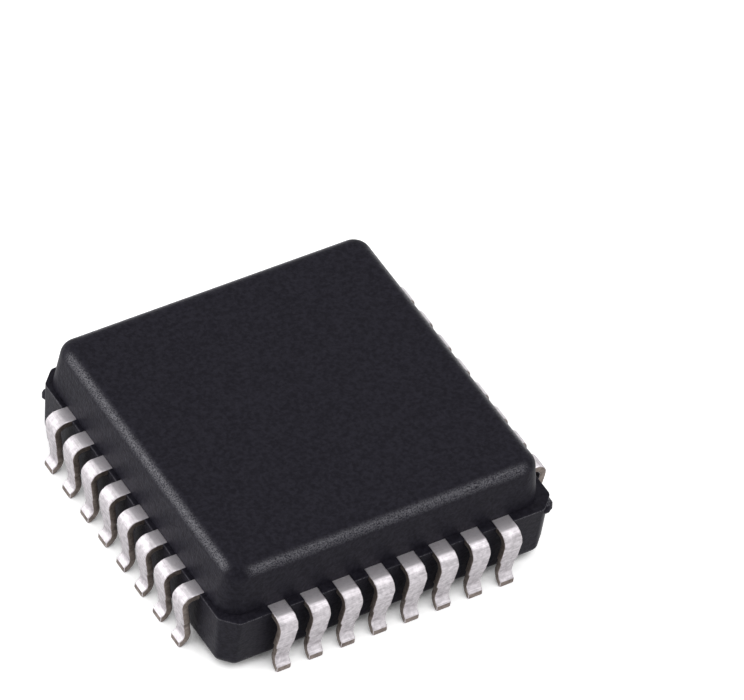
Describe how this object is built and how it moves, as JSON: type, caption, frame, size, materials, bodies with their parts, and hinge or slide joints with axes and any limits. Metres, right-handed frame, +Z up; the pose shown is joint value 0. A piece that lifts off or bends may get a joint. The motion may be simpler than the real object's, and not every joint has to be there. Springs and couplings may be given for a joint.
{
  "type": "plastic leaded chip carrier",
  "caption": "Square black moulded chip carrier with a raised drafted upper half and a row of formed, tin-plated leads on each side, for soldering flat onto a circuit board.",
  "frame": {"origin": "middle of the seat, level with the soles of the leads", "axes": "+Z up out of the circuit board, +X to the right along the front row of leads, with the gate stub on the corner between +X and -Y"},
  "size_m": [0.0144, 0.0144, 0.0044],
  "materials": {
    "moulding": "fine-grained black moulding compound",
    "tin_plate": "satin tin plate on copper alloy",
    "lead_frame": "bare copper alloy sheet",
    "adhesive": "silver-filled adhesive",
    "silicon": "polished silicon",
    "gold_wire": "drawn gold wire"
  },
  "bodies": {
    "root": {"body": "moulding", "die_paddle": "lead_frame", "die_attach": "adhesive", "silicon_die": "silicon", "bond_wires": "gold_wire", "lead_01": "tin_plate", "lead_02": "tin_plate", "lead_03": "tin_plate", "lead_04": "tin_plate", "lead_05": "tin_plate", "lead_06": "tin_plate", "lead_07": "tin_plate", "lead_08": "tin_plate", "lead_09": "tin_plate", "lead_10": "tin_plate", "lead_11": "tin_plate", "lead_12": "tin_plate", "lead_13": "tin_plate", "lead_14": "tin_plate", "lead_15": "tin_plate", "lead_16": "tin_plate", "lead_17": "tin_plate", "lead_18": "tin_plate", "lead_19": "tin_plate", "lead_20": "tin_plate", "lead_21": "tin_plate", "lead_22": "tin_plate", "lead_23": "tin_plate", "lead_24": "tin_plate", "lead_25": "tin_plate", "lead_26": "tin_plate", "lead_27": "tin_plate", "lead_28": "tin_plate", "lead_29": "tin_plate", "lead_30": "tin_plate", "lead_31": "tin_plate", "lead_32": "tin_plate"}
  },
  "joints": []
}
